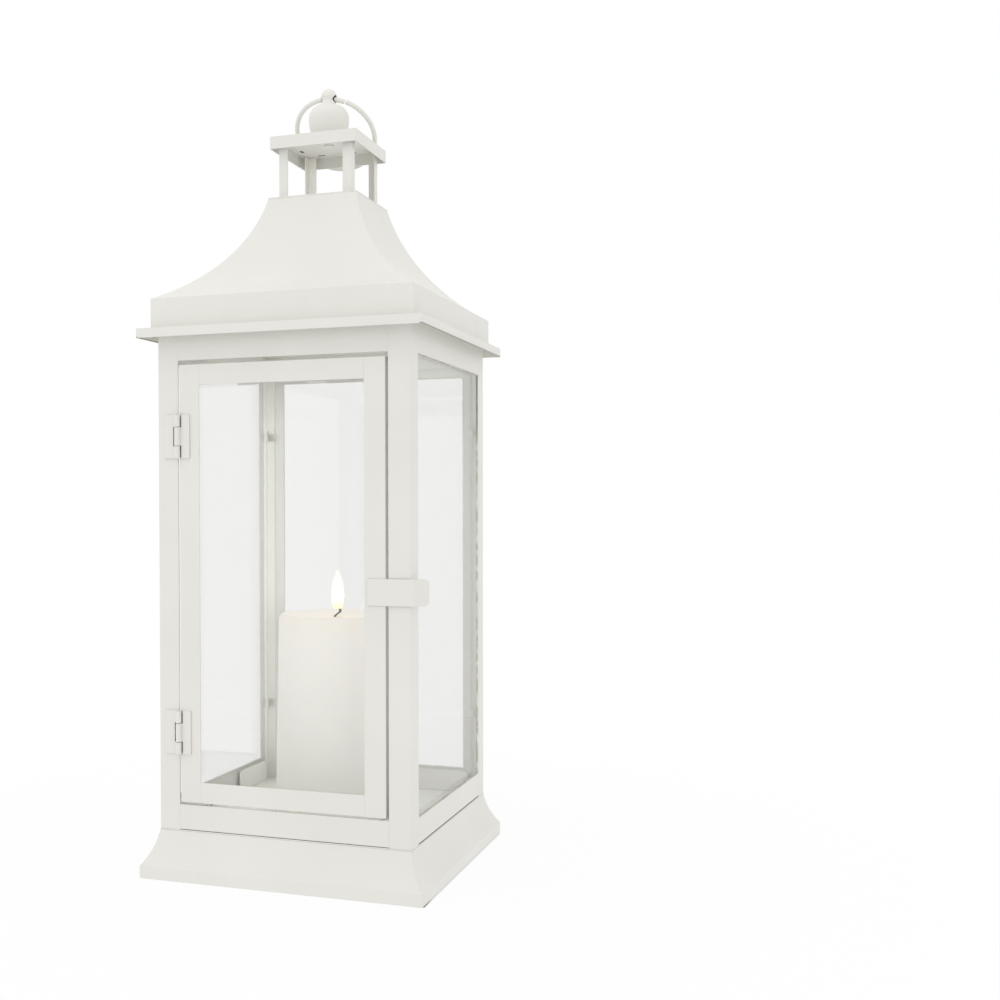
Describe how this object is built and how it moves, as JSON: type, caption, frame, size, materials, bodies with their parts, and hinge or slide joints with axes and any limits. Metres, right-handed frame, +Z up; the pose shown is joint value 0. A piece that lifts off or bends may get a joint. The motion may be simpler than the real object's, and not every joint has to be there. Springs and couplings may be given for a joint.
{
  "type": "candle lantern",
  "caption": "Tall square sheet-metal lantern with a glazed door, concave pagoda roof, open chimney, finial and carry ring, holding a battery pillar candle.",
  "frame": {"origin": "middle of the square that the base stands on, on the surface below it", "axes": "+Z up, -Y out of the door side, +X towards the latch side of the door as seen from the front"},
  "size_m": [0.1796, 0.1796, 0.4891],
  "materials": {
    "white_paint": "warm white satin powder coat",
    "clear_glass": "clear float glass",
    "sealant": "smeared grey-green bead",
    "ivory_wax": "ivory wax, soft satin",
    "flame_plastic": "translucent frosted, lit from inside",
    "dark_wick": "charred cord",
    "led_resin": "clear warm resin",
    "case_plastic": "moulded, fine texture",
    "cell_jacket": "satin wrap",
    "board_laminate": "solder mask",
    "switch_plastic": "moulded black",
    "steel": "zinc plated"
  },
  "bodies": {
    "frame": {"base_skirt_front": "white_paint", "base_skirt_right": "white_paint", "base_skirt_back": "white_paint", "base_skirt_left": "white_paint", "floor_plate": "white_paint", "corner_post_front_left": "white_paint", "corner_post_front_right": "white_paint", "corner_post_back_right": "white_paint", "corner_post_back_left": "white_paint", "bottom_rail_front": "white_paint", "bottom_rail_right": "white_paint", "bottom_rail_back": "white_paint", "bottom_rail_left": "white_paint", "top_rail_front": "white_paint", "top_rail_right": "white_paint", "top_rail_back": "white_paint", "top_rail_left": "white_paint", "pane_right": "clear_glass", "pane_back": "clear_glass", "pane_left": "clear_glass", "pane_clips_right": "white_paint", "pane_clips_back": "white_paint", "pane_clips_left": "white_paint", "pane_seals": "sealant", "eave_plate": "white_paint", "roof_panel_front": "white_paint", "roof_panel_right": "white_paint", "roof_panel_back": "white_paint", "roof_panel_left": "white_paint", "roof_top_plate": "white_paint", "chimney_post_front_left": "white_paint", "chimney_post_front_right": "white_paint", "chimney_post_back_right": "white_paint", "chimney_post_back_left": "white_paint", "chimney_cap": "white_paint", "finial": "white_paint", "finial_screw": "white_paint", "hinge_leaf_frame_lower": "white_paint", "hinge_leaf_frame_upper": "white_paint", "hinge_pins": "white_paint"},
    "door": {"door_stile_hinge": "white_paint", "door_stile_latch": "white_paint", "door_rail_bottom": "white_paint", "door_rail_top": "white_paint", "door_pane": "clear_glass", "door_pane_clips": "white_paint", "latch_strip": "white_paint", "hinge_leaf_door_lower": "white_paint", "hinge_leaf_door_upper": "white_paint"},
    "ring": {"carry_ring": "white_paint"},
    "candle": {"candle_wax": "ivory_wax", "candle_wick": "dark_wick", "candle_flame": "flame_plastic", "flame_led": "led_resin", "battery_case": "case_plastic", "battery_cover": "case_plastic", "battery_cells": "cell_jacket", "battery_contacts": "steel", "circuit_board": "board_laminate"},
    "switch": {"switch_slider": "switch_plastic"}
  },
  "joints": [
    {"name": "door_swing", "type": "hinge", "parent": "frame", "child": "door", "pos_m": [-0.06595, -0.0824, 0.177], "axis": [0, 0, -1], "range_deg": [0, 170]},
    {"name": "ring_swing", "type": "hinge", "parent": "frame", "child": "ring", "pos_m": [0, 0, 0.4825], "axis": [1, 0, 0], "range_deg": [0, 263]},
    {"name": "candle_lift", "type": "slide", "parent": "frame", "child": "candle", "axis": [0, 0, 1], "range_m": [0, 0.12]},
    {"name": "switch_slide", "type": "slide", "parent": "candle", "child": "switch", "axis": [1, 0, 0], "range_m": [0, 0.003]}
  ]
}
